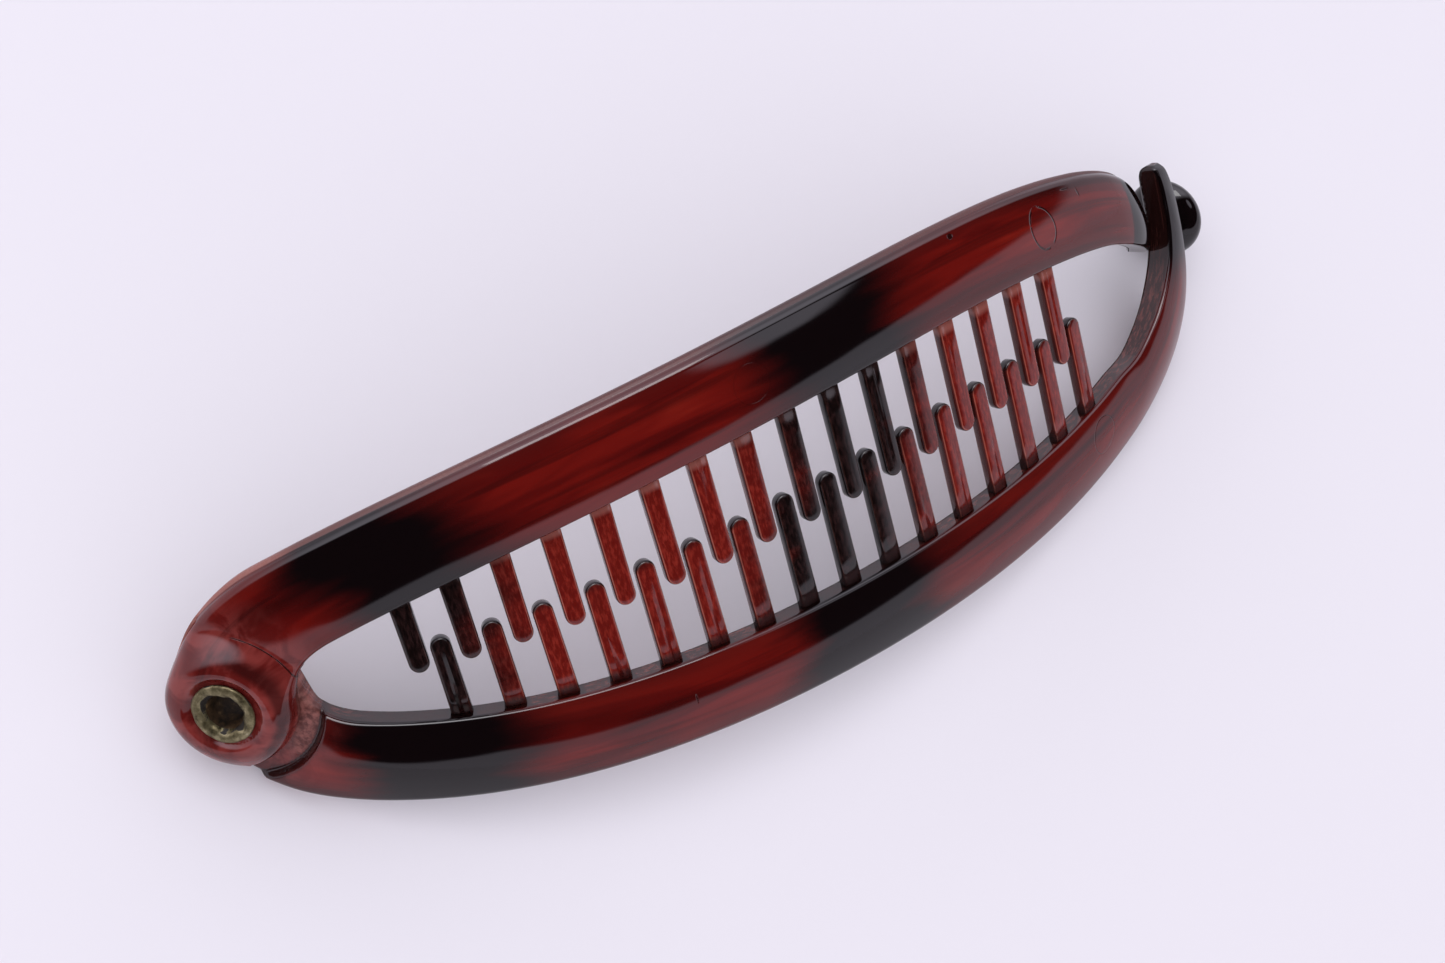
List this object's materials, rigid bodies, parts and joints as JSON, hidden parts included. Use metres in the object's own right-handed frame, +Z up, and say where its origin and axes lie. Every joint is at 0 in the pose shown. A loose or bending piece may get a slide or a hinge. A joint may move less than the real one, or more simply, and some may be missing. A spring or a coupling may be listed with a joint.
{
  "type": "banana hair clip",
  "caption": "Bent two-arm comb hair clip: interleaved teeth, riveted hinge at one end, knob and hook latch at the other.",
  "frame": {"origin": "centre of the bounding box's bottom: the table under the closed clip as it lies on its lower arm", "axes": "+Z up, +X along the clip from the rivet hinge to the knob latch, +Y from the lower arm towards the upper arm"},
  "size_m": [0.1206, 0.0336, 0.0301],
  "materials": {
    "upper_plastic": "gloss tortoiseshell, dark red with black clouds",
    "lower_plastic": "gloss tortoiseshell, dark red with black clouds",
    "eyelet_brass": "dull aged brass"
  },
  "bodies": {
    "lower_half": {"lower_arm": "lower_plastic", "lower_eye": "lower_plastic", "lower_teeth": "lower_plastic", "latch_hook": "lower_plastic", "hinge_eyelet": "eyelet_brass"},
    "upper_half": {"upper_arm": "upper_plastic", "upper_eye": "upper_plastic", "upper_teeth": "upper_plastic", "latch_knob": "upper_plastic"}
  },
  "joints": [
    {"name": "clip_hinge", "type": "hinge", "parent": "lower_half", "child": "upper_half", "pos_m": [-0.0553, 0.00842, 0.0074], "axis": [-0.6876, -0.4451, 0.5736], "range_deg": [0, 100]}
  ]
}
